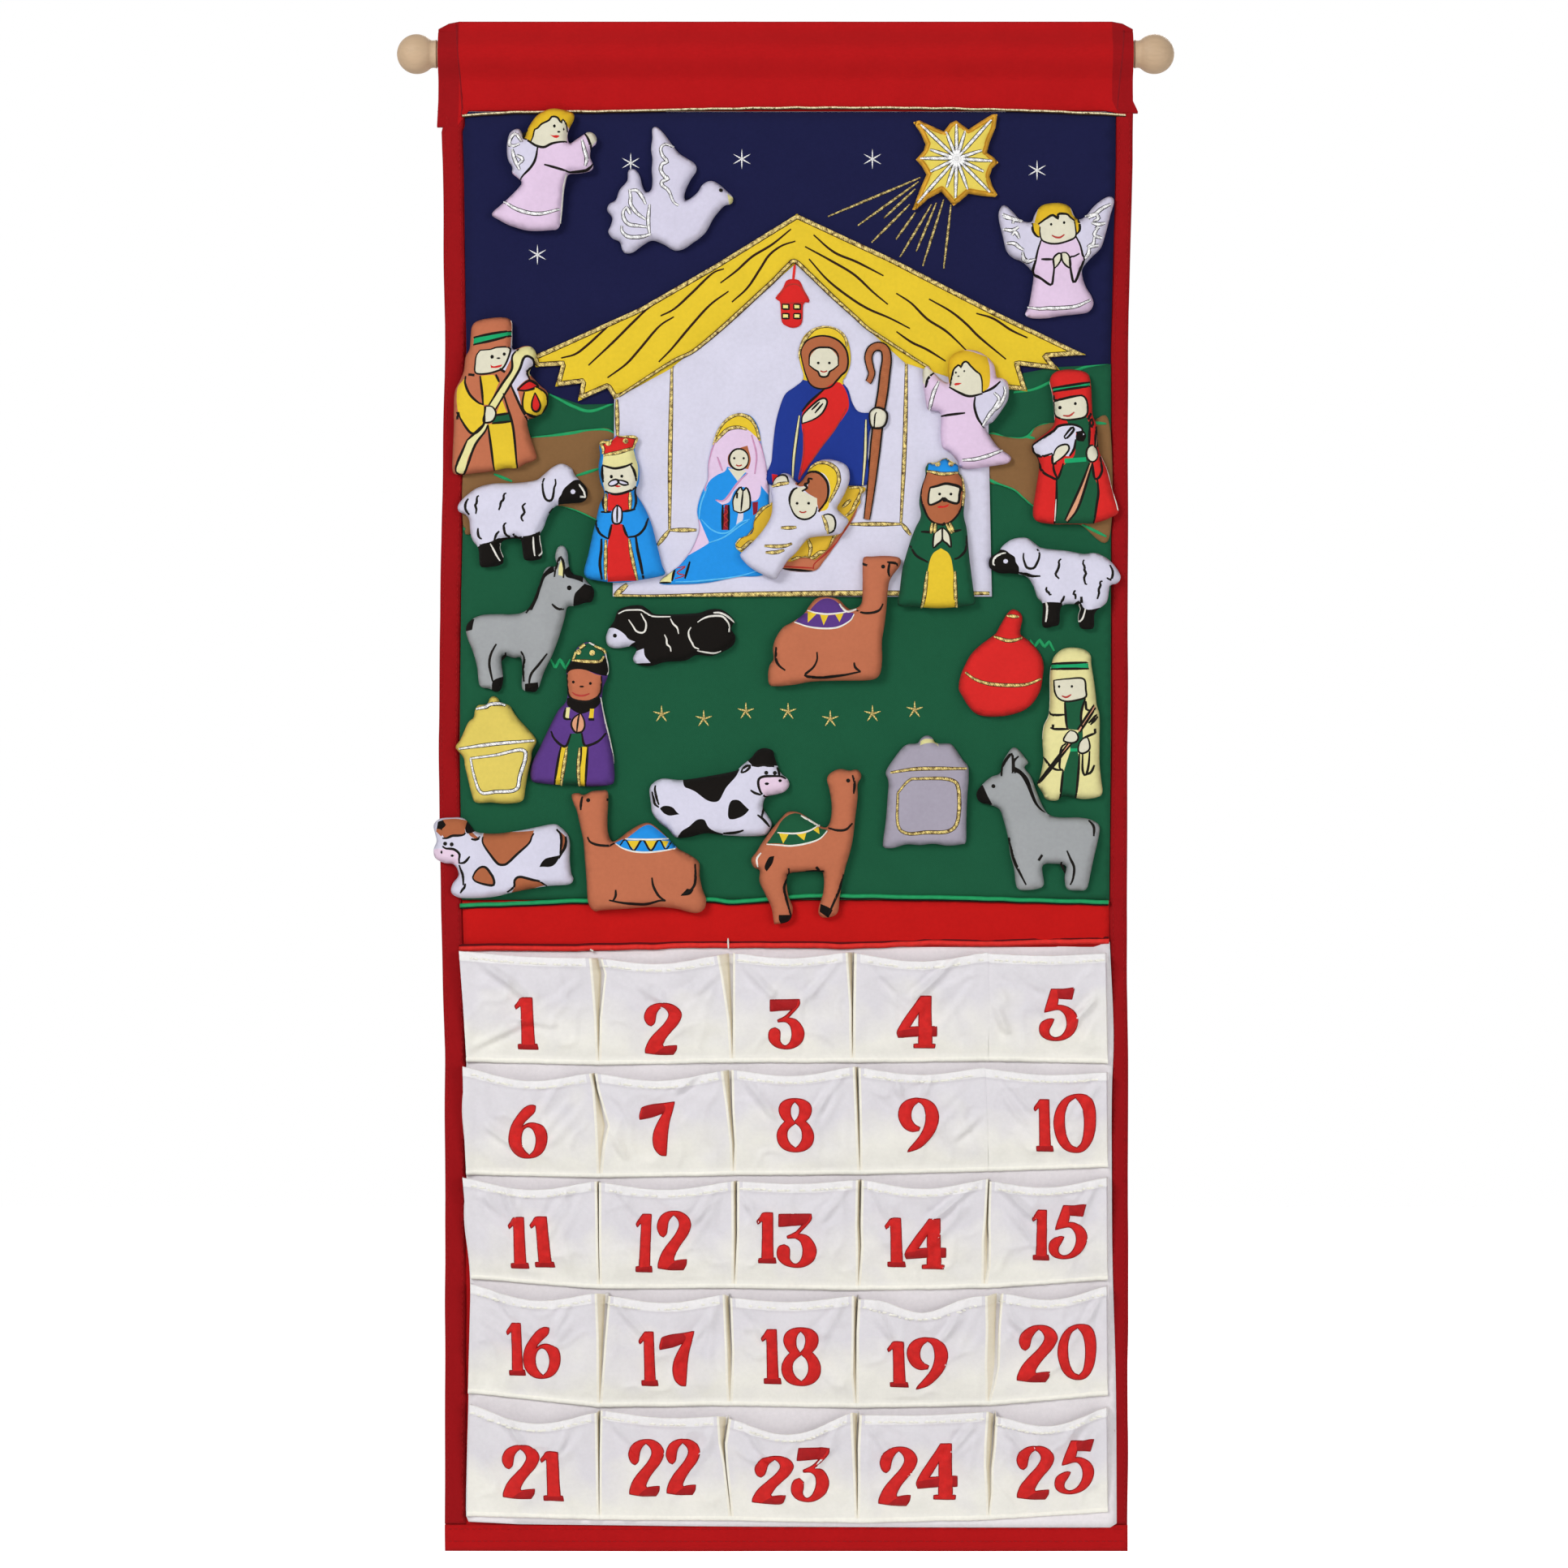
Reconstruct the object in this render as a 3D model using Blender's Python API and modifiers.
"""Cloth pocket advent calendar: a banner on a wooden rod, with stuffed ornaments and pockets.

The banner hangs from a turned rod with a ball finial at each end. A sleeve wraps the rod. Below it
the picture panel carries flat applique pieces and stuffed ornaments that pull off their hook
tape, and the pocket panel carries five rows of five pockets. The origin is the middle of the rod's
axis. The front faces -Y, X runs along the rod and Z is up. Lengths are in metres.
"""
import math

import bmesh
import bpy
from mathutils import Vector, geometry

# Driving sizes of the cloth
CLOTH_WIDTH = 0.406
CLOTH_HEIGHT = 0.906
BACKING_THICKNESS = 0.0016
CLOTH_THICKNESS = 0.0008
LAYER_GAP = 0.0003
SIDE_CLEARANCE = 0.0005
BORDER_PLIES = 2

# The rod, its finials and the sleeve that holds it
ROD_DIAMETER = 0.0159
ROD_END_PLAY = 0.0005
PEG_DIAMETER = 0.008
PEG_LENGTH = 0.010
PEG_CLEARANCE = 0.0003
BALL_DIAMETER = 0.0236
COLLAR_DIAMETER = 0.0172
COLLAR_LENGTH = 0.0040
SLEEVE_OVERHANG = 0.0035
SLEEVE_CLEARANCE = 0.00035
SLEEVE_PLIES = 3
SLEEVE_REACH_SHARE = 2.0
SLEEVE_FULLNESS_SHARE = 0.8
ROUND_STEPS = 20
SLEEVE_STEPS = 24
WELD_DISTANCE = 0.00001
SLEEVE_WIDTH = CLOTH_WIDTH + 2 * SLEEVE_OVERHANG

# The stuffed ornaments
CROWN_HEIGHT = 0.0056
CROWN_REACH = 0.0095
BACK_DEPTH = 0.0022
BACK_REACH = 0.0032
SEAM_INSET = 0.0022
LEAST_INSET = 0.0015
FILL_PITCH = 0.0115

# The pockets
POCKET_DEPTH = 0.0088
MOUTH_DIP = 0.0026

# The trims
GOLD_CORD_DIAMETER = 0.0014
GREEN_TRIM_WIDTH = 0.0048
RED_TRIM_WIDTH = 0.0030
FOLD_GAP = 0.0003
FOLD_SETBACK = 0.0017
CORD_RESOLUTION = 2

# Pixel columns and rows of the cloth's main lines, which place everything on the cloth
MIDDLE_PX = 968
ROD_AXIS_PX = 65
CLOTH_LEFT_PX = 548
CLOTH_RIGHT_PX = 1390
CLOTH_TOP_PX = 25
CLOTH_BOTTOM_PX = 1905
PANEL_LEFT_PX = 573
PANEL_RIGHT_PX = 1370
SLEEVE_BOTTOM_PX = 136
GOLD_CORD_PX = 139
GREEN_TRIM_PX = 1109
FOLD_PX = 1158
RED_TRIM_PX = 1167
POCKET_PANEL_BOTTOM_PX = 1880
COLUMN_EDGES_PX = (573, 738, 903, 1052, 1218, 1370)
ROW_MOUTHS_PX = (1175, 1317, 1456, 1597, 1739)
ROW_HEMS_PX = (1308, 1447, 1588, 1730, 1871)

# Across one pocket: places as shares of its width, and how far each stands out at its mouth
POCKET_ACROSS_SHARES = (0.0, 0.035, 0.09, 0.30, 0.50, 0.70, 0.91, 0.965)
POCKET_OUT_SHARES = (0.0, 0.55, 0.93, 1.0, 1.0, 1.0, 0.93, 0.55)
# Up one pocket: places as shares of its height, and how far each stands out in the middle
POCKET_UP_SHARES = (0.0, 0.05, 0.30, 0.55, 0.80, 1.0)
POCKET_RISE_SHARES = (0.0, 0.0, 0.36, 0.62, 0.83, 1.0)

COLOURS = {
    "wood": (0.69, 0.51, 0.29, 1.0),
    "red": (0.53, 0.012, 0.012, 1.0),
    "navy": (0.012, 0.014, 0.065, 1.0),
    "green": (0.014, 0.105, 0.045, 1.0),
    "hill": (0.22, 0.12, 0.05, 1.0),
    "white": (0.80, 0.79, 0.86, 1.0),
    "yellow": (0.83, 0.60, 0.03, 1.0),
    "ivory": (0.85, 0.83, 0.78, 1.0),
    "brown": (0.52, 0.16, 0.08, 1.0),
    "grey": (0.35, 0.36, 0.37, 1.0),
    "black": (0.02, 0.02, 0.02, 1.0),
    "pink": (0.76, 0.58, 0.76, 1.0),
    "blue": (0.02, 0.30, 0.77, 1.0),
    "purple": (0.10, 0.04, 0.22, 1.0),
    "gold": (0.58, 0.36, 0.07, 1.0),
    "satin_green": (0.014, 0.35, 0.12, 1.0),
}

# Flat applique pieces, as pixel outlines on the picture panel
GROUND_TOP_PX = (
    (573, 452), (600, 449), (640, 462), (680, 486), (716, 498), (757, 497), (800, 505), (960, 520),
    (1120, 515), (1218, 470), (1246, 462), (1300, 452), (1340, 450), (1370, 448),
)
HILL_LEFT_PX = (
    (576, 560), (610, 548), (652, 539), (680, 535), (724, 529), (757, 534), (762, 600), (757, 650),
    (735, 641), (706, 628), (680, 622), (640, 627), (600, 641), (576, 655),
)
HILL_RIGHT_PX = (
    (1218, 535), (1240, 538), (1262, 538), (1276, 526), (1293, 521), (1341, 520), (1367, 522),
    (1367, 662), (1332, 647), (1300, 634), (1273, 624), (1262, 615), (1249, 604), (1231, 597),
    (1218, 590),
)
ROOF_PX = (
    (982, 263), (1100, 318), (1230, 385), (1338, 437), (1292, 440), (1306, 456), (1256, 450),
    (1266, 482), (1212, 476), (1150, 470), (825, 470), (757, 492), (748, 478), (712, 494),
    (716, 472), (684, 476), (691, 450), (660, 452), (656, 438), (675, 430), (790, 378), (880, 326),
)
WALL_PX = (
    (980, 325), (1115, 447), (1217, 480), (1222, 735), (755, 735), (757, 492), (825, 455), (900, 396),
)
LANTERN_PX = (
    (970, 345), (984, 345), (990, 356), (998, 372), (990, 374), (988, 398), (978, 404), (968, 401),
    (963, 395), (961, 372), (955, 368), (964, 356),
)
ROBED_MAN_PX = (
    (951, 598), (951, 566), (955, 526), (961, 501), (968, 485), (980, 476), (990, 466), (986, 448),
    (984, 434), (990, 415), (1004, 404), (1022, 402), (1038, 409), (1046, 424), (1048, 446),
    (1042, 464), (1038, 470), (1045, 480), (1050, 496), (1058, 507), (1074, 508), (1084, 502),
    (1093, 508), (1093, 521), (1084, 529), (1073, 527), (1069, 560), (1066, 598),
)
KNEELING_WOMAN_PX = (
    (812, 718), (836, 698), (852, 678), (862, 652), (859, 630), (864, 609), (872, 592), (873, 570),
    (878, 549), (884, 530), (897, 514), (912, 509), (926, 513), (935, 528), (938, 548), (943, 570),
    (946, 592), (947, 612), (947, 650), (946, 704), (908, 711), (872, 718), (840, 720),
)
CRIB_PX = (
    (962, 700), (1001, 704), (1016, 690), (1036, 662), (1054, 634), (1057, 612), (1050, 604),
    (1000, 640), (955, 680),
)
STRAW_PX = (
    (906, 673), (911, 664), (927, 657), (929, 643), (936, 627), (950, 620), (964, 610), (990, 603),
    (1035, 599), (1065, 600), (1064, 607), (1055, 612), (1061, 618), (1053, 630), (1048, 640),
    (1040, 652), (1028, 664), (1023, 672), (1016, 680), (1003, 690), (992, 685), (975, 692),
    (958, 689), (930, 684), (914, 681),
)

# Ornaments: the pixel box of each on the cloth, left, top, right and bottom
ORNAMENTS_PX = {
    "angel_left": (605, 132, 738, 287),
    "dove": (748, 155, 903, 312),
    "star": (1122, 138, 1230, 262),
    "angel_right": (1228, 242, 1374, 392),
    "shepherd_lantern": (557, 391, 678, 587),
    "angel_stable": (1137, 430.5, 1246, 578),
    "shepherd_lamb": (1269, 455.5, 1379, 656),
    "king_red": (720.5, 535, 822, 718),
    "king_green": (1106.5, 563.5, 1202.5, 749.5),
    "sheep_left": (562, 566, 725.5, 702),
    "sheep_right": (1213, 658.5, 1383, 779),
    "donkey_left": (569.5, 667, 738, 856),
    "dog": (745, 740, 911, 824),
    "camel_purple": (943, 680, 1114, 849),
    "gift_red": (1179, 749, 1288, 885),
    "shepherd_boy": (1276, 796, 1360.5, 986.5),
    "gift_yellow": (558.5, 853.5, 663, 993),
    "king_purple": (655, 787.5, 762.5, 976.5),
    "gift_grey": (1083.5, 902.5, 1195, 1048.5),
    "donkey_right": (1203, 917.5, 1362.5, 1104.5),
    "cow_centre": (795, 918, 974, 1037.5),
    "cow_left": (529, 1001.5, 709.5, 1108),
    "camel_blue": (698.5, 970, 874.5, 1127),
    "camel_green": (918.5, 942.5, 1064, 1142.5),
    "child": (908, 563, 1064, 714),
}

# How many cloth layers lie under each ornament, and the colour of its cloth
ORNAMENT_CLOTH = {
    "angel_left": (3, "pink"),
    "dove": (1, "white"),
    "star": (1, "yellow"),
    "angel_right": (1, "white"),
    "shepherd_lantern": (3, "brown"),
    "angel_stable": (4, "pink"),
    "shepherd_lamb": (3, "red"),
    "king_red": (4, "blue"),
    "king_green": (4, "green"),
    "sheep_left": (3, "white"),
    "sheep_right": (3, "white"),
    "donkey_left": (2, "grey"),
    "dog": (2, "black"),
    "camel_purple": (4, "brown"),
    "gift_red": (2, "red"),
    "shepherd_boy": (2, "ivory"),
    "gift_yellow": (2, "yellow"),
    "king_purple": (2, "purple"),
    "gift_grey": (2, "grey"),
    "donkey_right": (2, "grey"),
    "cow_centre": (2, "white"),
    "cow_left": (2, "white"),
    "camel_blue": (3, "brown"),
    "camel_green": (3, "brown"),
    "child": (6, "ivory"),
}

# The outline of each ornament as shares of its box, from the lower left corner
ORNAMENT_SHARES = {
    "angel_left": (
        (.01, .15), (.12, .24), (.26, .36), (.28, .41), (.20, .47), (.20, .52), (.16, .58), (.15, .68),
        (.17, .78), (.22, .82), (.27, .82), (.31, .75), (.34, .82), (.38, .88), (.44, .94), (.55, .985),
        (.66, .98), (.76, .95), (.77, .90), (.73, .83), (.71, .77), (.73, .71), (.79, .74), (.86, .78),
        (.90, .80), (.95, .79), (.98, .75), (.97, .70), (.93, .67), (.92, .60), (.95, .53), (.92, .49),
        (.82, .47), (.72, .46), (.69, .38), (.67, .28), (.66, .15), (.63, .04), (.55, .02), (.36, .015),
        (.20, .05), (.08, .10)),
    "dove": (
        (.15, .0), (.21, .01), (.28, .06), (.36, .10), (.45, .07), (.53, .025), (.60, .03), (.68, .08),
        (.78, .16), (.85, .28), (.93, .37), (.99, .39), (1.0, .44), (.95, .49), (.88, .55), (.82, .57),
        (.76, .54), (.72, .48), (.66, .43), (.62, .42), (.62, .48), (.66, .57), (.71, .65), (.69, .71),
        (.58, .78), (.52, .85), (.46, .93), (.40, .99), (.36, .98), (.36, .90), (.35, .82), (.36, .74),
        (.355, .65), (.36, .57), (.35, .50), (.31, .48), (.28, .53), (.26, .61), (.22, .66), (.17, .65),
        (.16, .57), (.10, .50), (.07, .42), (.02, .39), (.0, .34), (.04, .28), (.03, .22), (.01, .17),
        (.04, .12), (.10, .09), (.12, .03)),
    "star": (
        (.02, .03), (.10, .22), (.18, .38), (.13, .46), (.06, .53), (.15, .62), (.17, .68), (.12, .78),
        (.03, .90), (.10, .92), (.30, .84), (.38, .81), (.45, .89), (.52, .92), (.58, .88), (.66, .83),
        (.80, .91), (.93, .98), (.99, .98), (.97, .85), (.90, .70), (.87, .60), (.95, .55), (1.0, .50),
        (.93, .44), (.90, .36), (.93, .27), (.99, .18), (.96, .155), (.80, .17), (.66, .19), (.57, .12),
        (.49, .07), (.42, .14), (.35, .21), (.20, .14), (.06, .03)),
    "angel_right": (
        (.24, .03), (.27, .10), (.29, .20), (.31, .33), (.30, .38), (.22, .46), (.13, .50), (.08, .56),
        (.05, .68), (.02, .80), (.02, .88), (.06, .93), (.12, .89), (.20, .81), (.29, .79), (.32, .85),
        (.37, .92), (.45, .945), (.55, .945), (.62, .91), (.67, .82), (.74, .83), (.82, .92), (.90, .98),
        (.96, 1.0), (.99, .96), (.96, .85), (.92, .70), (.88, .58), (.80, .50), (.73, .42), (.72, .36),
        (.75, .26), (.80, .18), (.815, .11), (.77, .05), (.66, .03), (.55, .02), (.42, .0), (.30, .0)),
    "shepherd_lantern": (
        (.01, .03), (.08, .01), (.25, .02), (.40, .03), (.55, .05), (.66, .05), (.75, .08), (.86, .11),
        (.84, .17), (.79, .27), (.77, .35), (.85, .37), (.93, .40), (.98, .46), (.97, .53), (.90, .57),
        (.84, .61), (.79, .65), (.83, .70), (.86, .76), (.82, .81), (.74, .82), (.62, .80), (.61, .90),
        (.60, .98), (.50, 1.0), (.30, .985), (.21, .95), (.19, .87), (.18, .80), (.14, .75), (.12, .66),
        (.08, .60), (.03, .53), (.02, .42), (.02, .30), (.01, .15)),
    "angel_stable": (
        (.0, .72), (.0, .82), (.05, .86), (.10, .82), (.20, .75), (.29, .72), (.28, .80), (.29, .90),
        (.35, .96), (.45, .99), (.58, .99), (.70, .95), (.80, .87), (.83, .77), (.88, .76), (.94, .74),
        (.97, .68), (.96, .58), (.90, .50), (.80, .40), (.71, .35), (.76, .27), (.85, .18), (.98, .11),
        (.99, .07), (.93, .04), (.75, .02), (.55, .0), (.42, .01), (.38, .07), (.30, .14), (.22, .18),
        (.20, .30), (.20, .46), (.10, .49), (.05, .50), (.02, .62)),
    "shepherd_lamb": (
        (.05, .08), (.03, .13), (.06, .25), (.10, .40), (.08, .46), (.02, .50), (.04, .55), (.20, .62),
        (.27, .67), (.27, .75), (.25, .85), (.22, .93), (.27, .98), (.40, 1.0), (.55, .995), (.65, .97),
        (.68, .90), (.69, .80), (.70, .72), (.74, .66), (.75, .60), (.77, .50), (.86, .38), (.92, .25),
        (.99, .13), (.90, .09), (.75, .06), (.60, .05), (.40, .05), (.25, .05), (.12, .06)),
    "king_red": (
        (.0, .05), (.05, .20), (.10, .33), (.14, .42), (.18, .52), (.24, .60), (.19, .68), (.17, .78),
        (.19, .86), (.18, .93), (.24, .96), (.33, .96), (.38, .99), (.45, .98), (.58, .99), (.65, .97),
        (.61, .92), (.62, .85), (.66, .78), (.66, .68), (.62, .61), (.68, .55), (.75, .48), (.82, .38),
        (.88, .25), (.94, .12), (.98, .06), (.90, .04), (.70, .02), (.45, .0), (.20, .01)),
    "king_green": (
        (.0, .02), (.02, .12), (.05, .25), (.10, .35), (.16, .45), (.22, .53), (.29, .61), (.27, .70),
        (.30, .80), (.35, .87), (.35, .93), (.40, .96), (.46, .95), (.53, .97), (.61, .99), (.68, .96),
        (.76, .95), (.78, .90), (.83, .84), (.86, .75), (.84, .62), (.88, .52), (.90, .40), (.92, .30),
        (.97, .10), (.98, .03), (.80, .01), (.50, .0), (.20, .01)),
    "sheep_left": (
        (.17, .19), (.18, .05), (.21, .02), (.33, .04), (.36, .09), (.33, .20), (.37, .27), (.48, .28),
        (.50, .20), (.52, .09), (.62, .09), (.65, .13), (.63, .30), (.66, .38), (.70, .50), (.76, .58),
        (.86, .60), (.95, .61), (.99, .66), (.98, .75), (.90, .85), (.87, .92), (.80, .96), (.73, .93),
        (.66, .86), (.60, .81), (.45, .785), (.28, .78), (.16, .74), (.07, .66), (.02, .59), (.02, .53),
        (.07, .50), (.10, .45), (.11, .33), (.13, .26)),
    "sheep_right": (
        (.03, .68), (.04, .76), (.10, .82), (.13, .88), (.20, .95), (.30, .965), (.36, .91), (.42, .86),
        (.60, .83), (.72, .80), (.80, .81), (.88, .76), (.94, .68), (.985, .57), (.96, .50), (.91, .48),
        (.90, .42), (.88, .30), (.80, .20), (.79, .05), (.74, .03), (.69, .05), (.68, .16), (.69, .27),
        (.56, .27), (.54, .09), (.50, .06), (.42, .06), (.42, .28), (.38, .36), (.35, .48), (.30, .57),
        (.20, .60), (.12, .60), (.06, .63)),
    "donkey_left": (
        (.13, .06), (.20, .04), (.24, .02), (.28, .03), (.30, .10), (.29, .25), (.38, .24), (.43, .24),
        (.44, .15), (.44, .04), (.50, .02), (.55, .03), (.60, .15), (.66, .26), (.71, .38), (.75, .50),
        (.77, .57), (.83, .58), (.90, .60), (.95, .61), (.965, .68), (.92, .73), (.88, .77), (.81, .79),
        (.78, .85), (.77, .93), (.74, .97), (.70, .96), (.68, .90), (.69, .84), (.62, .83), (.58, .76),
        (.55, .68), (.50, .58), (.45, .54), (.38, .525), (.25, .525), (.15, .52), (.07, .49), (.03, .44),
        (.04, .37), (.08, .28), (.11, .18)),
    "dog": (
        (.01, .45), (.03, .33), (.10, .30), (.20, .33), (.24, .28), (.21, .15), (.24, .07), (.34, .04),
        (.45, .10), (.60, .12), (.68, .20), (.80, .19), (.90, .27), (.96, .36), (.97, .48), (.94, .58),
        (.96, .70), (.92, .80), (.86, .87), (.78, .87), (.70, .82), (.55, .80), (.38, .80), (.33, .86),
        (.27, .93), (.18, .92), (.10, .85), (.07, .70), (.03, .58)),
    "camel_purple": (
        (.02, .10), (.03, .03), (.08, .02), (.20, .03), (.35, .055), (.55, .06), (.75, .065), (.82, .10),
        (.84, .20), (.84, .35), (.855, .45), (.87, .57), (.88, .70), (.90, .80), (.97, .90), (.97, .95),
        (.93, .965), (.85, .97), (.77, .965), (.71, .96), (.70, .90), (.70, .75), (.69, .62), (.62, .58),
        (.58, .60), (.53, .65), (.45, .67), (.37, .66), (.32, .61), (.28, .55), (.20, .49), (.13, .45),
        (.08, .38), (.055, .30), (.06, .22), (.03, .17)),
    "gift_red": (
        (.02, .27), (.06, .20), (.12, .12), (.20, .05), (.30, .02), (.45, .015), (.60, .03), (.75, .07),
        (.86, .14), (.94, .25), (.97, .38), (.98, .48), (.95, .57), (.88, .65), (.80, .71), (.72, .76),
        (.72, .82), (.74, .90), (.72, .95), (.67, .98), (.62, .985), (.57, .95), (.53, .90), (.48, .83),
        (.44, .77), (.36, .72), (.26, .66), (.16, .58), (.09, .48), (.04, .38)),
    "shepherd_boy": (
        (.02, .11), (.10, .05), (.15, .01), (.30, .0), (.40, .03), (.55, .02), (.70, .01), (.88, .02),
        (.97, .05), (.95, .15), (.93, .25), (.93, .40), (.93, .55), (.89, .62), (.87, .70), (.84, .80),
        (.81, .88), (.80, .94), (.72, .975), (.58, .99), (.42, .985), (.30, .95), (.24, .90), (.21, .80),
        (.21, .65), (.19, .55), (.12, .48), (.10, .38), (.11, .26), (.06, .15)),
    "gift_yellow": (
        (.27, .03), (.22, .10), (.18, .22), (.14, .35), (.12, .43), (.04, .50), (.03, .53), (.08, .58),
        (.13, .66), (.18, .74), (.24, .78), (.26, .85), (.30, .89), (.40, .90), (.43, .95), (.48, .97),
        (.53, .95), (.56, .91), (.66, .89), (.72, .82), (.78, .76), (.88, .68), (.96, .61), (.98, .56),
        (.93, .48), (.92, .40), (.88, .28), (.85, .15), (.83, .06), (.76, .03), (.60, .02), (.45, .03)),
    "king_purple": (
        (.0, .08), (.0, .18), (.10, .30), (.20, .42), (.30, .53), (.40, .60), (.41, .70), (.40, .80),
        (.45, .85), (.48, .88), (.52, .94), (.60, .975), (.68, .98), (.76, .95), (.84, .93), (.86, .88),
        (.88, .82), (.87, .75), (.82, .68), (.81, .58), (.85, .47), (.90, .35), (.94, .22), (.95, .08),
        (.90, .05), (.75, .04), (.62, .04), (.50, .05), (.30, .05), (.12, .06)),
    "gift_grey": (
        (.05, .03), (.04, .08), (.07, .25), (.09, .45), (.10, .58), (.07, .65), (.09, .70), (.16, .78),
        (.24, .86), (.31, .90), (.42, .91), (.46, .95), (.52, .975), (.58, .96), (.63, .91), (.78, .905),
        (.84, .86), (.92, .77), (.98, .71), (.985, .60), (.97, .45), (.96, .25), (.955, .08), (.90, .055),
        (.75, .045), (.60, .06), (.45, .05), (.30, .055), (.15, .025)),
    "donkey_right": (
        (.32, .05), (.38, .04), (.47, .05), (.52, .08), (.51, .20), (.60, .215), (.69, .20), (.68, .12),
        (.70, .05), (.78, .04), (.85, .05), (.88, .15), (.91, .27), (.94, .38), (.95, .46), (.90, .50),
        (.80, .52), (.68, .52), (.58, .53), (.52, .58), (.46, .70), (.42, .79), (.37, .85), (.40, .88),
        (.37, .92), (.32, .97), (.28, .98), (.24, .94), (.20, .88), (.18, .81), (.12, .79), (.06, .75),
        (.01, .70), (.0, .66), (.03, .62), (.12, .60), (.18, .57), (.21, .50), (.24, .40), (.26, .28),
        (.29, .18), (.30, .10)),
    "cow_centre": (
        (.05, .60), (.03, .53), (.04, .40), (.05, .30), (.10, .20), (.16, .13), (.21, .05), (.30, .05),
        (.42, .09), (.55, .07), (.70, .06), (.82, .07), (.86, .13), (.87, .20), (.84, .28), (.81, .36),
        (.83, .46), (.90, .49), (.96, .52), (.99, .58), (.98, .65), (.93, .72), (.91, .80), (.89, .88),
        (.88, .94), (.82, .97), (.77, .94), (.73, .87), (.66, .78), (.63, .74), (.55, .71), (.40, .67),
        (.25, .64), (.12, .655)),
    "cow_left": (
        (.03, .86), (.07, .93), (.14, .945), (.23, .94), (.28, .86), (.32, .78), (.45, .76), (.60, .79),
        (.72, .83), (.85, .87), (.90, .83), (.945, .75), (.96, .65), (.96, .45), (.97, .30), (.985, .23),
        (.95, .17), (.80, .15), (.60, .09), (.45, .03), (.30, .01), (.20, .02), (.15, .08), (.16, .18),
        (.20, .28), (.17, .40), (.10, .42), (.04, .48), (.03, .58), (.05, .67), (.04, .76)),
    "camel_blue": (
        (.19, .03), (.15, .10), (.14, .25), (.13, .40), (.12, .55), (.11, .62), (.09, .72), (.07, .82),
        (.05, .87), (.035, .94), (.08, .955), (.12, .94), (.18, .97), (.24, .975), (.285, .97),
        (.29, .88), (.285, .75), (.29, .64), (.32, .575), (.37, .60), (.44, .66), (.52, .71), (.58, .72),
        (.64, .675), (.70, .61), (.78, .52), (.86, .47), (.925, .41), (.93, .30), (.95, .20),
        (.975, .12), (.965, .05), (.92, .015), (.86, .02), (.75, .05), (.60, .06), (.40, .045),
        (.25, .035)),
    "camel_green": (
        (.24, .03), (.26, .02), (.37, .04), (.40, .12), (.36, .20), (.35, .30), (.38, .335), (.62, .345),
        (.66, .32), (.66, .22), (.62, .12), (.63, .07), (.70, .06), (.78, .09), (.80, .20), (.84, .35),
        (.88, .45), (.91, .55), (.93, .68), (.95, .80), (.95, .88), (.98, .93), (.95, .97), (.88, .965),
        (.80, .975), (.72, .95), (.69, .91), (.71, .85), (.73, .75), (.72, .66), (.68, .615), (.60, .64),
        (.52, .68), (.44, .71), (.36, .71), (.30, .67), (.22, .60), (.14, .52), (.09, .46), (.05, .42),
        (.07, .37), (.12, .35), (.12, .28), (.17, .20), (.22, .12)),
    "child": (
        (.30, .0), (.35, .07), (.40, .15), (.47, .22), (.55, .32), (.62, .345), (.80, .365), (.85, .42),
        (.88, .48), (.82, .54), (.79, .58), (.82, .64), (.86, .72), (.89, .82), (.87, .92), (.78, .97),
        (.68, .975), (.60, .93), (.56, .87), (.50, .79), (.46, .80), (.42, .85), (.37, .865), (.32, .84),
        (.29, .80), (.27, .72), (.28, .62), (.27, .52), (.22, .42), (.14, .32), (.04, .22), (.03, .18),
        (.10, .10), (.20, .04)),
}


def across(px):
    """Place along the rod of a pixel column."""
    return (px - MIDDLE_PX) * CLOTH_WIDTH / (CLOTH_RIGHT_PX - CLOTH_LEFT_PX)


def height(py):
    """Height above the rod's axis of a pixel row."""
    return (ROD_AXIS_PX - py) * CLOTH_HEIGHT / (CLOTH_BOTTOM_PX - CLOTH_TOP_PX)


def layer_back(layer):
    """Depth of the rear face of a cloth layer, where layer 1 lies on the backing."""
    return -BACKING_THICKNESS / 2 - layer * LAYER_GAP - (layer - 1) * CLOTH_THICKNESS


def outline_on_cloth(points_px):
    """Points across and up the cloth for an outline given in pixels."""
    return [(across(px), height(py)) for px, py in points_px]


def rectangle(left, right, bottom, top):
    """The four corners of a rectangle on the cloth."""
    return [(left, bottom), (right, bottom), (right, top), (left, top)]


def clear_scene():
    """Remove what the scene starts with."""
    for item in list(bpy.data.objects):
        bpy.data.objects.remove(item, do_unlink=True)


def make_collection(name):
    """A new collection in the scene."""
    collection = bpy.data.collections.new(name)
    bpy.context.scene.collection.children.link(collection)
    return collection


def make_material(name, colour, roughness):
    """A plain Principled material."""
    material = bpy.data.materials.new(name)
    material.use_nodes = True
    shader = material.node_tree.nodes["Principled BSDF"]
    shader.inputs["Base Color"].default_value = colour
    shader.inputs["Roughness"].default_value = roughness
    shader.inputs["Metallic"].default_value = 0.0
    material.diffuse_color = colour
    return material


def add_object(name, data, collection, colour, roughness=0.85):
    """Link a new object with a material of its own."""
    piece = bpy.data.objects.new(name, data)
    data.materials.append(make_material(name, COLOURS[colour], roughness))
    collection.objects.link(piece)
    return piece


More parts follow.
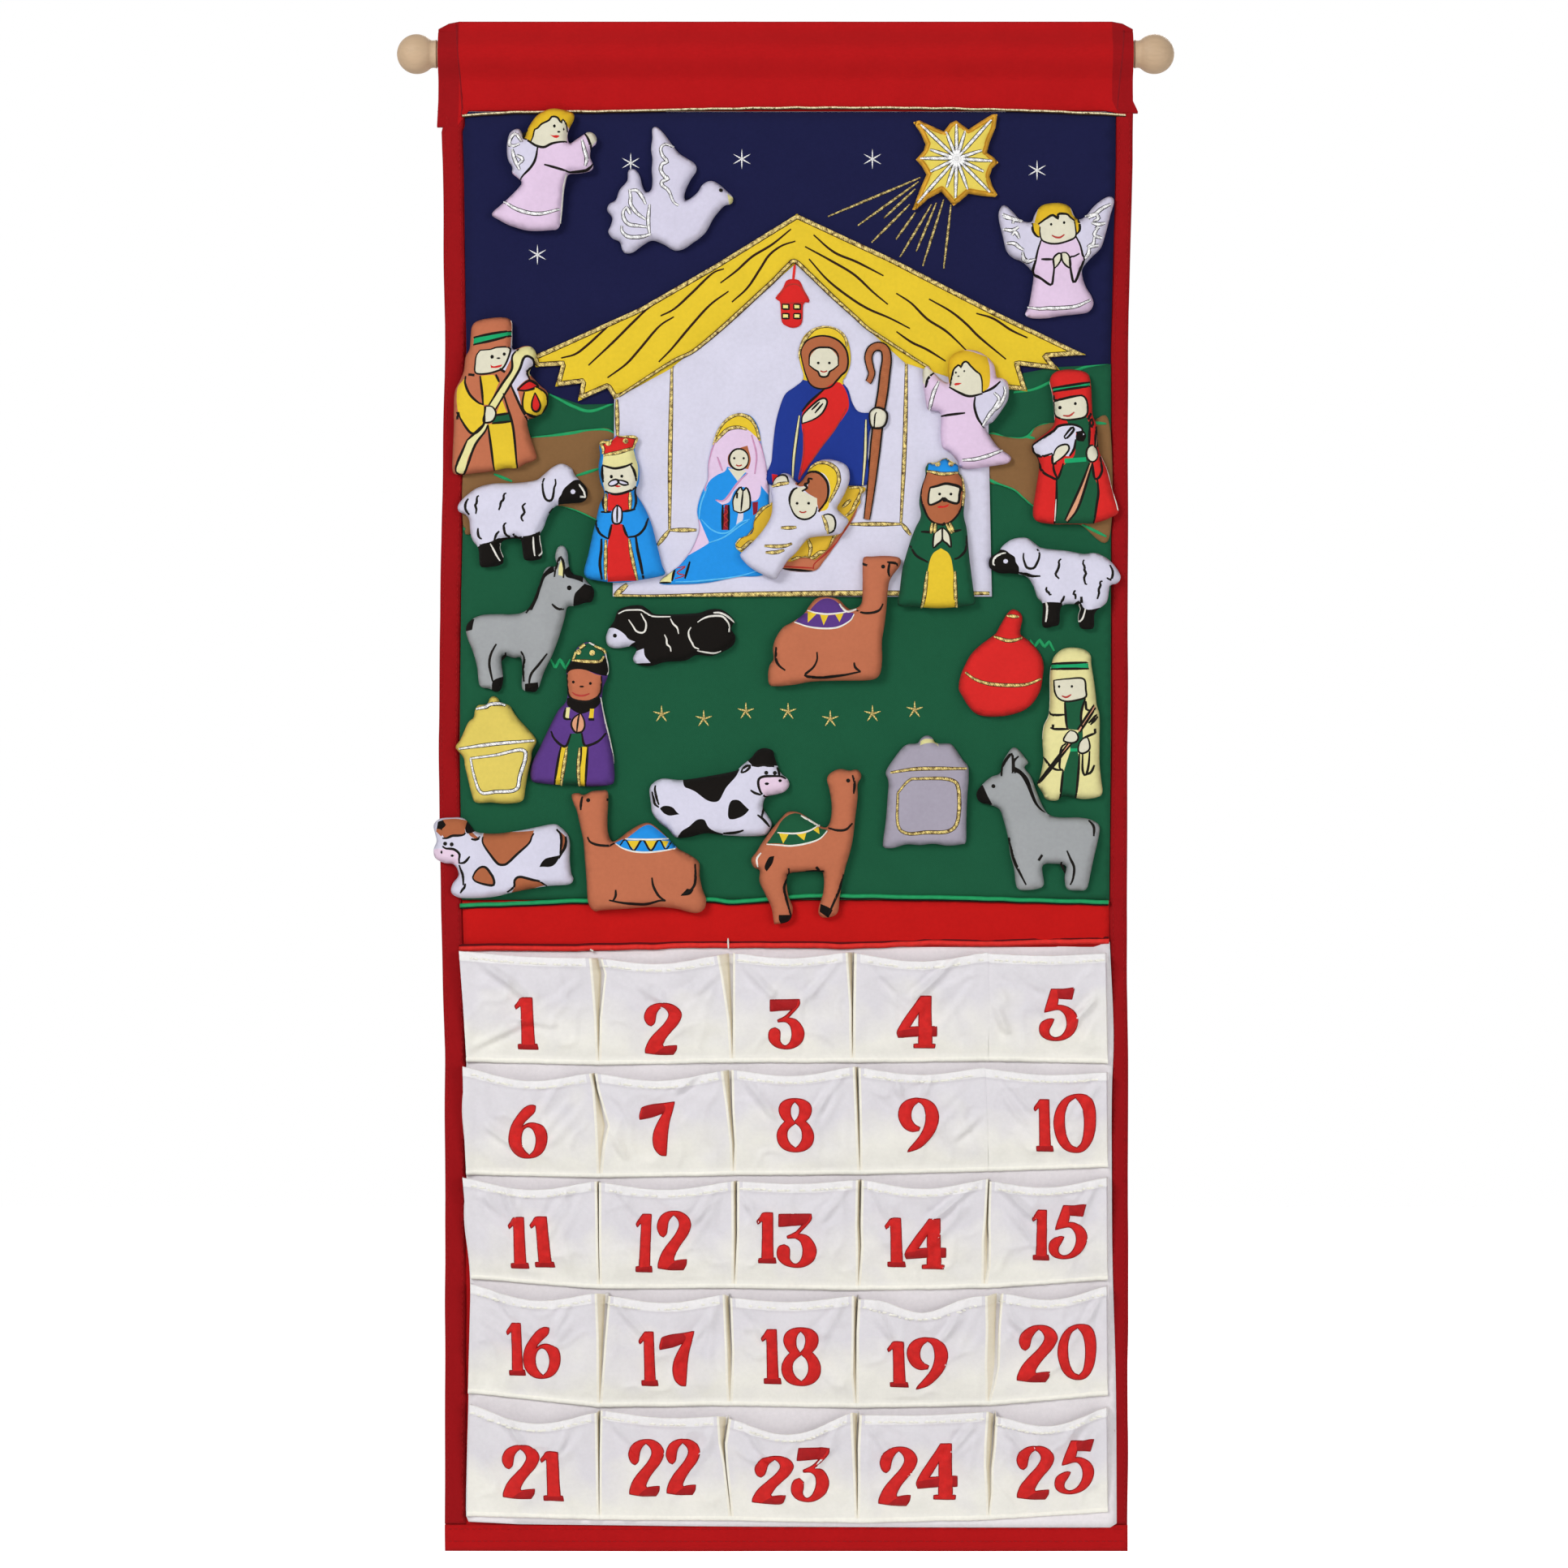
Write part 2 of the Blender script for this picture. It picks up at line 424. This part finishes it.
def flat_piece(name, outline, back, thickness, collection, colour, holes=()):
    """A flat sheet cut to an outline, standing upright with its rear face at a depth."""
    curve = bpy.data.curves.new(name, "CURVE")
    curve.dimensions = "2D"
    curve.fill_mode = "BOTH"
    curve.extrude = thickness / 2
    for loop in (outline, *holes):
        spline = curve.splines.new("POLY")
        spline.points.add(len(loop) - 1)
        spline.use_cyclic_u = True
        for point, (x, z) in zip(spline.points, loop):
            point.co = (x, z, 0.0, 1.0)
    piece = add_object(name, curve, collection, colour)
    piece.rotation_euler = (math.pi / 2, 0.0, 0.0)
    piece.location = (0.0, back - thickness / 2, 0.0)
    return piece


def turned_piece(name, profile, collection, colour):
    """A piece turned about its own Z from a profile of (radius, place) that runs top to bottom."""
    mesh = bpy.data.meshes.new(name)
    points = [(radius, 0.0, place) for radius, place in profile]
    edges = [(index, index + 1) for index in range(len(points) - 1)]
    mesh.from_pydata(points, edges, [])
    piece = add_object(name, mesh, collection, colour, roughness=0.55)
    screw = piece.modifiers.new("turning", "SCREW")
    screw.axis = "Z"
    screw.steps = ROUND_STEPS
    screw.render_steps = ROUND_STEPS
    screw.use_merge_vertices = True
    screw.merge_threshold = WELD_DISTANCE
    screw.use_smooth_shade = True
    return piece


def make_rod(collection):
    """The dowel, with a thinner peg at each end that a finial fits over."""
    half = SLEEVE_WIDTH / 2 + ROD_END_PLAY
    radius = ROD_DIAMETER / 2
    peg = PEG_DIAMETER / 2
    tip = half + PEG_LENGTH
    profile = [(0.0, tip), (peg, tip), (peg, half), (radius, half), (radius, -half), (peg, -half),
               (peg, -tip), (0.0, -tip)]
    rod = turned_piece("rod", profile, collection, "wood")
    rod.rotation_euler = (0.0, math.pi / 2, 0.0)
    return rod


def make_finial(name, side, collection):
    """A ball finial with a collar and a blind socket for the rod's peg."""
    ball = BALL_DIAMETER / 2
    collar = COLLAR_DIAMETER / 2
    socket = PEG_DIAMETER / 2 + PEG_CLEARANCE
    socket_depth = PEG_LENGTH + PEG_CLEARANCE
    meeting = math.acos(collar / ball)
    ball_place = COLLAR_LENGTH + ball * math.sin(meeting)
    arc_steps = ROUND_STEPS // 2
    profile = []
    for step in range(arc_steps + 1):
        angle = math.pi / 2 - (math.pi / 2 + meeting) * step / arc_steps
        profile.append((ball * math.cos(angle) if step else 0.0, ball_place + ball * math.sin(angle)))
    profile += [(collar, 0.0), (socket, 0.0), (socket, socket_depth), (0.0, socket_depth)]
    finial = turned_piece(name, profile, collection, "wood")
    finial.rotation_euler = (0.0, side * math.pi / 2, 0.0)
    finial.location = (side * (SLEEVE_WIDTH / 2 + ROD_END_PLAY + LAYER_GAP), 0.0, 0.0)
    return finial


def make_sleeve(collection):
    """The red sleeve: a flat heading, a round pocket on the rod, and a flat band below."""
    bore = ROD_DIAMETER / 2 + SLEEVE_CLEARANCE
    flat = SLEEVE_PLIES * CLOTH_THICKNESS / 2
    swell = bore + flat
    top = height(CLOTH_TOP_PX)
    bottom = height(SLEEVE_BOTTOM_PX)
    reach = min(SLEEVE_REACH_SHARE * bore, top - flat)
    steps = SLEEVE_STEPS // 2
    places = [reach - 2 * reach * step / steps for step in range(steps + 1)]
    swellings = [(1 + math.cos(math.pi * place / reach)) / 2 for place in places]
    widths = [flat + (swell - flat) * swelling ** SLEEVE_FULLNESS_SHARE for swelling in swellings]
    front = [(-width, place) for width, place in zip(widths, places)]
    rear = [(width, place) for width, place in zip(widths, places)]
    outline = [(-flat, top), *front, (-flat, bottom), (flat, bottom), *reversed(rear), (flat, top)]
    hole = [(bore * math.cos(2 * math.pi * step / SLEEVE_STEPS),
             bore * math.sin(2 * math.pi * step / SLEEVE_STEPS)) for step in range(SLEEVE_STEPS)]
    sleeve = flat_piece("rod_sleeve", outline, 0.0, SLEEVE_WIDTH, collection, "red", holes=[hole])
    sleeve.rotation_euler = (math.pi / 2, 0.0, math.pi / 2)
    sleeve.location = (0.0, 0.0, 0.0)
    return sleeve


def distance_to_outline(point, outline):
    """The least distance from a point to a closed outline."""
    least = math.inf
    for start, end in zip(outline, outline[1:] + outline[:1]):
        nearest, share = geometry.intersect_point_line(point, start, end)
        share = min(max(share, 0.0), 1.0)
        least = min(least, (point - start.lerp(end, share)).length)
    return least


def is_inside(point, outline):
    """Whether a point lies inside a closed outline."""
    inside = False
    for start, end in zip(outline, outline[1:] + outline[:1]):
        if (start.y > point.y) != (end.y > point.y):
            crossing = start.x + (point.y - start.y) * (end.x - start.x) / (end.y - start.y)
            if crossing > point.x:
                inside = not inside
    return inside


def inset_points(outline):
    """Points a little inside an outline, one beside each of its points where there is room."""
    points = []
    for before, here, after in zip(outline[-1:] + outline[:-1], outline, outline[1:] + outline[:1]):
        along = (after - before).normalized()
        for side in (Vector((-along.y, along.x)), Vector((along.y, -along.x))):
            inner = here + side * SEAM_INSET
            if is_inside(inner, outline) and distance_to_outline(inner, outline) > LEAST_INSET:
                points.append(inner)
                break
    return spaced_points(points, LEAST_INSET)


def spaced_points(points, spacing):
    """The points without those that lie too close to one kept before."""
    kept = []
    for point in points:
        if all((point - other).length > spacing for other in kept):
            kept.append(point)
    return kept


def fill_points(outline, nearby):
    """A lattice of points that fills the middle of an outline."""
    low_x = min(point.x for point in outline)
    low_y = min(point.y for point in outline)
    columns = int((max(point.x for point in outline) - low_x) / FILL_PITCH) + 1
    row_pitch = FILL_PITCH * math.sqrt(3) / 2
    rows = int((max(point.y for point in outline) - low_y) / row_pitch) + 1
    points = []
    for row in range(rows + 1):
        for column in range(columns + 1):
            shift = 0.5 * (row % 2)
            point = Vector((low_x + (column + shift) * FILL_PITCH, low_y + row * row_pitch))
            if is_inside(point, outline) and distance_to_outline(point, outline) > 2 * SEAM_INSET:
                if all((point - other).length > FILL_PITCH / 3 for other in nearby):
                    points.append(point)
    return points


def triangulate(outline, inner):
    """Triangles that fill an outline, none with an inner edge between two outline points."""
    count = len(outline)
    ring = [(index, (index + 1) % count) for index in range(count)]
    inner = list(inner)
    while True:
        points = list(outline) + inner
        found = geometry.delaunay_2d_cdt(points, ring, [], 1, 0.0)
        faces = [tuple(found[3][index][0] for index in face) for face in found[2]]
        chords = set()
        for face in faces:
            for start, end in zip(face, face[1:] + face[:1]):
                if start < count and end < count and (end - start) % count not in (1, count - 1):
                    chords.add((min(start, end), max(start, end)))
        if not chords:
            return inner, faces
        inner += [(outline[start] + outline[end]) / 2 for start, end in sorted(chords)]


def dome(distance, reach):
    """Share of the full height at a distance in from the seam."""
    return math.sqrt(1.0 - (1.0 - min(distance / reach, 1.0)) ** 2)


def stuffed_piece(name, collection):
    """A stuffed ornament: a crowned front and a flatter rear that meet in a seam."""
    left, top, right, bottom = ORNAMENTS_PX[name]
    layers_under, colour = ORNAMENT_CLOTH[name]
    outline = [Vector((across(left + u * (right - left)), height(bottom - v * (bottom - top))))
               for u, v in ORNAMENT_SHARES[name]]
    near_seam = inset_points(outline)
    front_points, front_faces = triangulate(outline, near_seam + fill_points(outline, near_seam))
    rear_points, rear_faces = triangulate(outline, near_seam)
    seam = layer_back(layers_under + 1) - BACK_DEPTH
    bm = bmesh.new()
    ring = [bm.verts.new((point.x, seam, point.y)) for point in outline]
    front = [bm.verts.new((point.x, seam - CROWN_HEIGHT * dome(distance_to_outline(point, outline),
                                                               CROWN_REACH), point.y))
             for point in front_points]
    rear = [bm.verts.new((point.x, seam + BACK_DEPTH * dome(distance_to_outline(point, outline),
                                                            BACK_REACH), point.y))
            for point in rear_points]
    for face in front_faces:
        bm.faces.new([(ring + front)[index] for index in face])
    for face in rear_faces:
        bm.faces.new([(ring + rear)[index] for index in reversed(face)])
    bmesh.ops.recalc_face_normals(bm, faces=bm.faces)
    mesh = bpy.data.meshes.new(name)
    bm.to_mesh(mesh)
    bm.free()
    mesh.shade_smooth()
    return add_object(name, mesh, collection, colour)


def make_pocket_row(number, collection):
    """One strip of pockets: it touches the panel along its hem and between the pockets."""
    mouth = height(ROW_MOUTHS_PX[number])
    hem = height(ROW_HEMS_PX[number])
    edges = [across(px) for px in COLUMN_EDGES_PX]
    edges[0] += SIDE_CLEARANCE + CLOTH_THICKNESS
    edges[-1] -= SIDE_CLEARANCE + CLOTH_THICKNESS
    columns = []
    for left, right in zip(edges, edges[1:]):
        for place, out in zip(POCKET_ACROSS_SHARES, POCKET_OUT_SHARES):
            columns.append((left + place * (right - left), out, math.sin(math.pi * place)))
    columns.append((edges[-1], 0.0, 0.0))
    bm = bmesh.new()
    grid = []
    for up, rise in zip(POCKET_UP_SHARES, POCKET_RISE_SHARES):
        line = []
        for x, out, middle in columns:
            z = hem + up * (mouth - hem - MOUTH_DIP * middle)
            line.append(bm.verts.new((x, layer_back(2) - POCKET_DEPTH * out * rise, z)))
        grid.append(line)
    for lower, upper in zip(grid, grid[1:]):
        for index in range(len(columns) - 1):
            bm.faces.new((lower[index], lower[index + 1], upper[index + 1], upper[index]))
    mesh = bpy.data.meshes.new(f"pocket_row_{number + 1}")
    bm.to_mesh(mesh)
    bm.free()
    row = add_object(f"pocket_row_{number + 1}", mesh, collection, "ivory")
    solid = row.modifiers.new("cloth thickness", "SOLIDIFY")
    solid.thickness = CLOTH_THICKNESS
    solid.offset = 1.0
    return row


def make_cord(name, px_row, back, diameter, collection, colour):
    """A straight metallic cord across the picture panel."""
    curve = bpy.data.curves.new(name, "CURVE")
    curve.dimensions = "3D"
    curve.bevel_depth = diameter / 2
    curve.bevel_resolution = CORD_RESOLUTION
    curve.use_fill_caps = True
    spline = curve.splines.new("POLY")
    spline.points.add(1)
    ends = (across(PANEL_LEFT_PX) + SIDE_CLEARANCE, across(PANEL_RIGHT_PX) - SIDE_CLEARANCE)
    for point, x in zip(spline.points, ends):
        point.co = (x, back - diameter / 2, height(px_row), 1.0)
    return add_object(name, curve, collection, colour, roughness=0.4)


def make_trim(name, px_row, layer, width, collection, colour):
    """A flat satin trim across the panel."""
    left = across(PANEL_LEFT_PX) + SIDE_CLEARANCE
    right = across(PANEL_RIGHT_PX) - SIDE_CLEARANCE
    middle = height(px_row)
    outline = rectangle(left, right, middle - width / 2, middle + width / 2)
    return flat_piece(name, outline, layer_back(layer), CLOTH_THICKNESS, collection, colour)


def make_backing(collection):
    """The two halves of the backing cloth, which meet along the fold."""
    left = across(CLOTH_LEFT_PX)
    right = across(CLOTH_RIGHT_PX)
    fold = height(FOLD_PX)
    top = height(SLEEVE_BOTTOM_PX) - LAYER_GAP
    back = BACKING_THICKNESS / 2
    upper = rectangle(left, right, fold + FOLD_GAP / 2, top)
    lower = rectangle(left, right, height(CLOTH_BOTTOM_PX), fold - FOLD_GAP / 2)
    flat_piece("backing_upper", upper, back, BACKING_THICKNESS, collection, "red")
    flat_piece("backing_lower", lower, back, BACKING_THICKNESS, collection, "red")


def make_borders(collection):
    """The folded red borders beside both panels, the band between them and the hem below."""
    fold = height(FOLD_PX)
    thickness = BORDER_PLIES * CLOTH_THICKNESS
    back = layer_back(1)
    sides = {
        "left": (across(CLOTH_LEFT_PX), across(PANEL_LEFT_PX)),
        "right": (across(PANEL_RIGHT_PX), across(CLOTH_RIGHT_PX)),
    }
    hem_top = height(POCKET_PANEL_BOTTOM_PX)
    for side, (left, right) in sides.items():
        upper = rectangle(left, right, fold + FOLD_SETBACK, height(SLEEVE_BOTTOM_PX) - LAYER_GAP)
        lower = rectangle(left, right, hem_top + SIDE_CLEARANCE, fold - FOLD_SETBACK)
        flat_piece(f"border_{side}_upper", upper, back, thickness, collection, "red")
        flat_piece(f"border_{side}_lower", lower, back, thickness, collection, "red")
    left = across(PANEL_LEFT_PX) + SIDE_CLEARANCE
    right = across(PANEL_RIGHT_PX) - SIDE_CLEARANCE
    band = rectangle(left, right, fold + FOLD_SETBACK, height(GREEN_TRIM_PX) - SIDE_CLEARANCE)
    flat_piece("middle_band", band, back, thickness, collection, "red")
    hem = rectangle(across(CLOTH_LEFT_PX), across(CLOTH_RIGHT_PX), height(CLOTH_BOTTOM_PX), hem_top)
    flat_piece("bottom_hem", hem, back, thickness, collection, "red")


def make_panels(collection):
    """The night sky, the ground in front of it and the white panel behind the pockets."""
    left = across(PANEL_LEFT_PX) + SIDE_CLEARANCE
    right = across(PANEL_RIGHT_PX) - SIDE_CLEARANCE
    bottom = height(GREEN_TRIM_PX)
    sky = rectangle(left, right, bottom, height(SLEEVE_BOTTOM_PX) - LAYER_GAP)
    flat_piece("sky_panel", sky, layer_back(1), CLOTH_THICKNESS, collection, "navy")
    hills = outline_on_cloth(GROUND_TOP_PX)
    hills[0] = (left, hills[0][1])
    hills[-1] = (right, hills[-1][1])
    ground = [(left, bottom), *hills, (right, bottom)]
    flat_piece("ground_panel", ground, layer_back(2), CLOTH_THICKNESS, collection, "green")
    pockets = rectangle(left, right, height(POCKET_PANEL_BOTTOM_PX) + SIDE_CLEARANCE,
                        height(FOLD_PX) - FOLD_SETBACK)
    flat_piece("pocket_panel", pockets, layer_back(1), CLOTH_THICKNESS, collection, "ivory")


def make_appliques(collection):
    """The flat pieces that are sewn onto the picture panel."""
    pieces = (
        ("hill_left", HILL_LEFT_PX, 3, "hill"),
        ("hill_right", HILL_RIGHT_PX, 3, "hill"),
        ("stable_roof", ROOF_PX, 3, "yellow"),
        ("stable_wall", WALL_PX, 4, "white"),
        ("hanging_lantern", LANTERN_PX, 5, "red"),
        ("robed_man", ROBED_MAN_PX, 5, "blue"),
        ("kneeling_woman", KNEELING_WOMAN_PX, 5, "blue"),
        ("manger_crib", CRIB_PX, 5, "brown"),
        ("manger_straw", STRAW_PX, 6, "yellow"),
    )
    for name, outline_px, layer, colour in pieces:
        outline = outline_on_cloth(outline_px)
        flat_piece(name, outline, layer_back(layer), CLOTH_THICKNESS, collection, colour)


def build():
    """Build every piece."""
    clear_scene()
    parts = make_collection("advent_calendar")
    make_rod(parts)
    make_finial("finial_left", -1, parts)
    make_finial("finial_right", 1, parts)
    make_sleeve(parts)
    make_backing(parts)
    make_borders(parts)
    make_panels(parts)
    make_appliques(parts)
    make_cord("gold_cord", GOLD_CORD_PX, layer_back(2), GOLD_CORD_DIAMETER, parts, "gold")
    make_trim("green_trim", GREEN_TRIM_PX, 3, GREEN_TRIM_WIDTH, parts, "satin_green")
    make_trim("red_trim", RED_TRIM_PX, 2, RED_TRIM_WIDTH, parts, "red")
    for number in range(len(ROW_HEMS_PX)):
        make_pocket_row(number, parts)
    for name in ORNAMENTS_PX:
        stuffed_piece(name, parts)


build()
